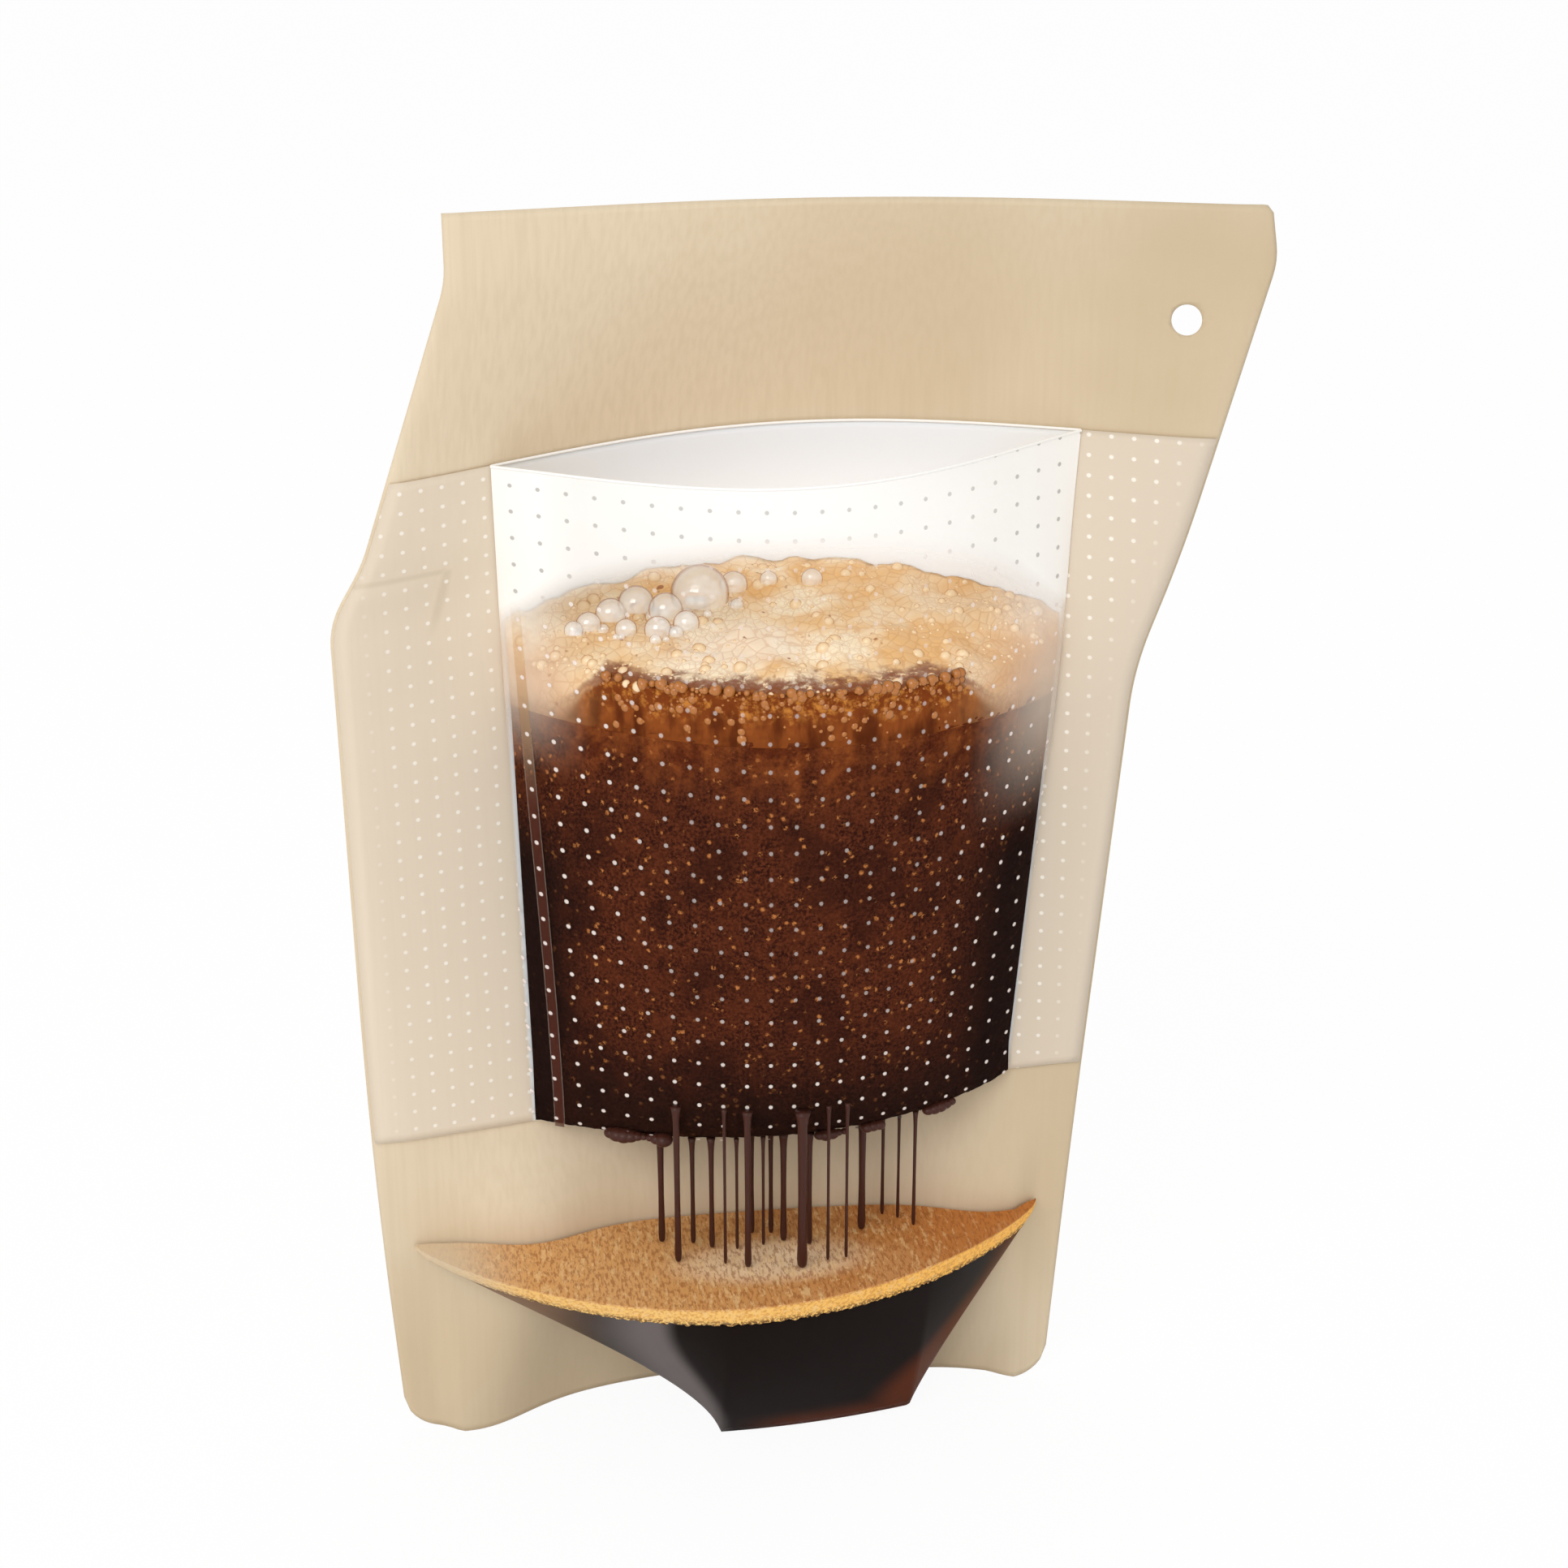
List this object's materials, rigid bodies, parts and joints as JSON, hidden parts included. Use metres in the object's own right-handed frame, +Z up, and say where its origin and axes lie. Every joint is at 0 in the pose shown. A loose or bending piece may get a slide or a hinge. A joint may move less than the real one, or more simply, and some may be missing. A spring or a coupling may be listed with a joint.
{
  "type": "drip coffee bag",
  "caption": "Stand-up brewing pouch with a perforated filter pocket of wet coffee grounds, foam, thin streams and brewed coffee in its folded base",
  "frame": {"origin": "on the hem of the back wall, about halfway between its lower corners, on the surface that the pouch stands on", "axes": "+Z up the pouch, +X across it towards the hang hole, +Y from the clear front wall to the kraft back wall"},
  "size_m": [0.1807, 0.0675, 0.259],
  "materials": {
    "kraft_laminate": "matt kraft paper laminate with faint vertical fibres",
    "clear_film": "clear gloss film",
    "web_film": "translucent cream filter film with fine perforations",
    "pocket_film": "translucent white filter film with fine perforations",
    "ground_coffee": "wet ground coffee, granular",
    "coffee_foam": "wet bubbly coffee foam",
    "brewed_coffee": "clear dark liquid, glossy",
    "crema": "fine grained golden-brown foam",
    "coffee_stream": "thin dark liquid threads"
  },
  "bodies": {
    "root": {"back_panel": "kraft_laminate", "front_film": "clear_film", "base_gusset": "clear_film", "filter_web": "web_film", "filter_pocket": "pocket_film", "coffee_bed": "ground_coffee", "coffee_foam": "coffee_foam", "brewed_coffee": "brewed_coffee", "crema": "crema", "drip_01": "coffee_stream", "drip_02": "coffee_stream", "drip_03": "coffee_stream", "drip_04": "coffee_stream", "drip_05": "coffee_stream", "drip_06": "coffee_stream", "drip_07": "coffee_stream", "drip_08": "coffee_stream", "drip_09": "coffee_stream", "drip_10": "coffee_stream", "drip_11": "coffee_stream", "drip_12": "coffee_stream", "drip_13": "coffee_stream", "drip_14": "coffee_stream", "drip_15": "coffee_stream", "drip_16": "coffee_stream", "drip_17": "coffee_stream", "drip_18": "coffee_stream", "drip_19": "coffee_stream"}
  },
  "joints": []
}
